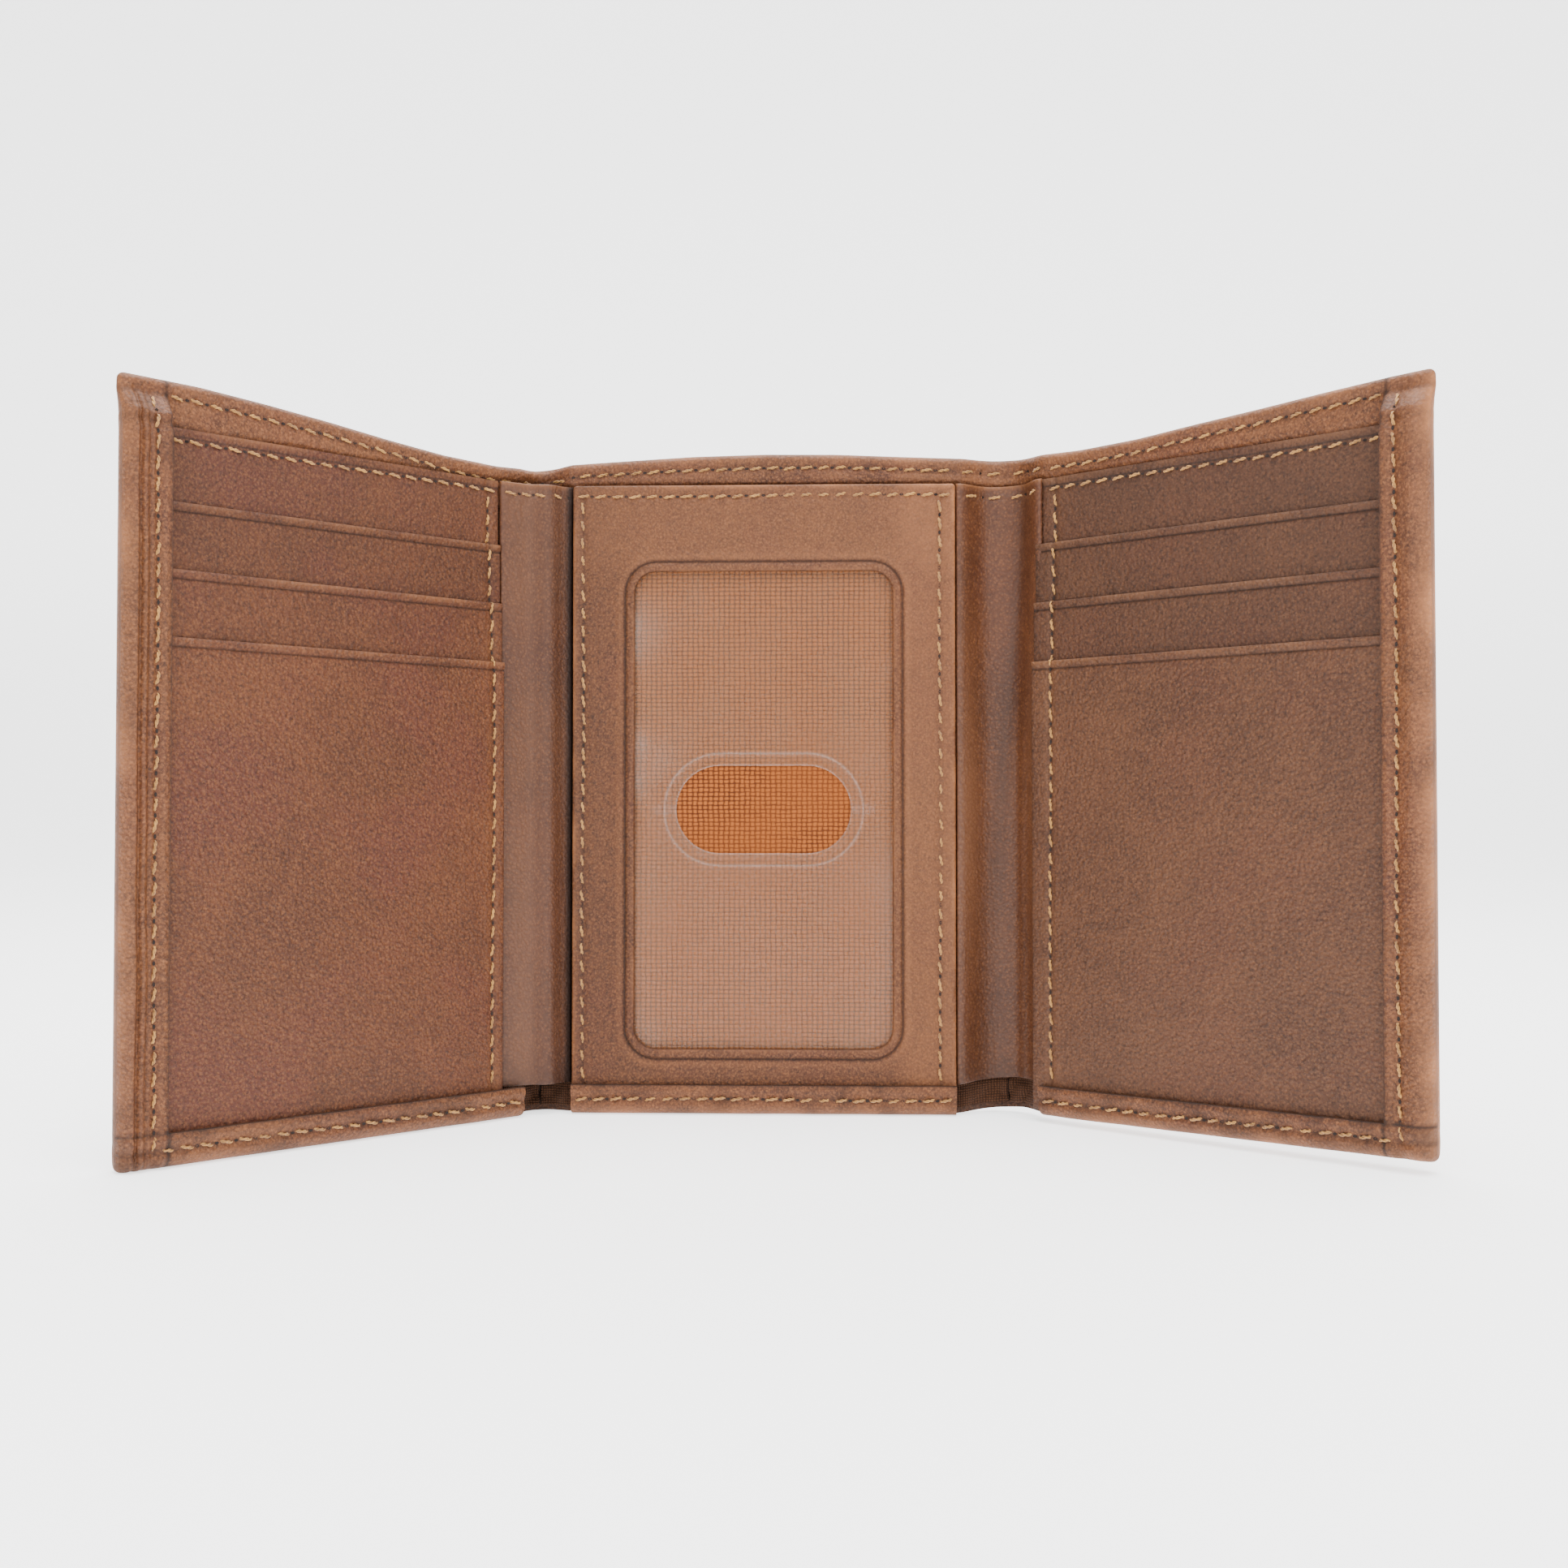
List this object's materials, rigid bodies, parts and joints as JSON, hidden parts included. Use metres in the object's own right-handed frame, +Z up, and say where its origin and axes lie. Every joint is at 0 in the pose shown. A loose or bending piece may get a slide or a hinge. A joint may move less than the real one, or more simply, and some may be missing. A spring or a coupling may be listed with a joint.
{
  "type": "trifold wallet",
  "caption": "Leather trifold wallet standing open, with card pockets on both folding wings, a windowed identity pocket on the centre panel and a full-width note compartment behind.",
  "frame": {"origin": "middle of the footprint of the wallet as it stands open, on the surface it stands on", "axes": "+Z up along the fold lines, the open side faces -Y, +X towards the right wing seen from the open side"},
  "size_m": [0.1814, 0.0566, 0.108],
  "materials": {
    "shell_leather": "oiled pull-up leather, softly mottled",
    "inner_leather": "oiled leather with pressed crease lines",
    "gusset_leather": "soft folded leather with light creases",
    "lining_cloth": "dark woven lining",
    "canvas": "plain weave cotton canvas",
    "clear_film": "clear flexible film",
    "thread": "waxed golden thread"
  },
  "bodies": {
    "centre": {"shell_centre": "shell_leather", "lining_centre": "lining_cloth", "inner_panel_centre": "inner_leather", "id_backing_canvas": "canvas", "id_window_film": "clear_film", "id_frame": "inner_leather", "seam_id_left": "thread", "seam_id_right": "thread", "seam_centre_inner_top": "thread", "seam_centre_bottom": "thread", "seam_centre_shell_top": "thread"},
    "left_spine": {"shell_left_spine": "shell_leather", "lining_left_spine": "lining_cloth", "gusset_left": "gusset_leather", "seam_left_gusset_top": "thread", "seam_left_spine_top": "thread"},
    "left_wing": {"shell_left_wing": "shell_leather", "lining_left_wing": "lining_cloth", "inner_panel_left": "inner_leather", "card_pocket_left_upper": "inner_leather", "pocket_tail_left_upper": "lining_cloth", "card_pocket_left_middle": "inner_leather", "pocket_tail_left_middle": "lining_cloth", "card_pocket_left_lower": "inner_leather", "seam_left_inner_top": "thread", "seam_left_stack": "thread", "seam_left_outer": "thread", "seam_left_bottom": "thread", "seam_left_shell_top": "thread"},
    "right_spine": {"shell_right_spine": "shell_leather", "lining_right_spine": "lining_cloth", "gusset_right": "gusset_leather", "seam_right_gusset_top": "thread", "seam_right_spine_top": "thread"},
    "right_wing": {"shell_right_wing": "shell_leather", "lining_right_wing": "lining_cloth", "inner_panel_right": "inner_leather", "card_pocket_right_upper": "inner_leather", "pocket_tail_right_upper": "lining_cloth", "card_pocket_right_middle": "inner_leather", "pocket_tail_right_middle": "lining_cloth", "card_pocket_right_lower": "inner_leather", "seam_right_inner_top": "thread", "seam_right_stack": "thread", "seam_right_outer": "thread", "seam_right_bottom": "thread", "seam_right_shell_top": "thread"}
  },
  "joints": [
    {"name": "left_spine_fold", "type": "hinge", "parent": "centre", "child": "left_spine", "pos_m": [-0.03529, 0.0255, 0], "axis": [0, 0, 1], "range_deg": [-22.75, 67.25]},
    {"name": "left_wing_fold", "type": "hinge", "parent": "left_spine", "child": "left_wing", "pos_m": [-0.04452, 0.02163, 0], "axis": [0, 0, 1], "range_deg": [-22.75, 67.25]},
    {"name": "right_spine_fold", "type": "hinge", "parent": "centre", "child": "right_spine", "pos_m": [0.02811, 0.0255, 0], "axis": [0, 0, -1], "range_deg": [-20, 70]},
    {"name": "right_wing_fold", "type": "hinge", "parent": "right_spine", "child": "right_wing", "pos_m": [0.04258, 0.02023, 0], "axis": [0, 0, -1], "range_deg": [-20, 70]}
  ],
  "couplings": [
    {"joint": "left_wing_fold", "follows": "left_spine_fold", "ratio": 1},
    {"joint": "right_wing_fold", "follows": "right_spine_fold", "ratio": 1}
  ]
}
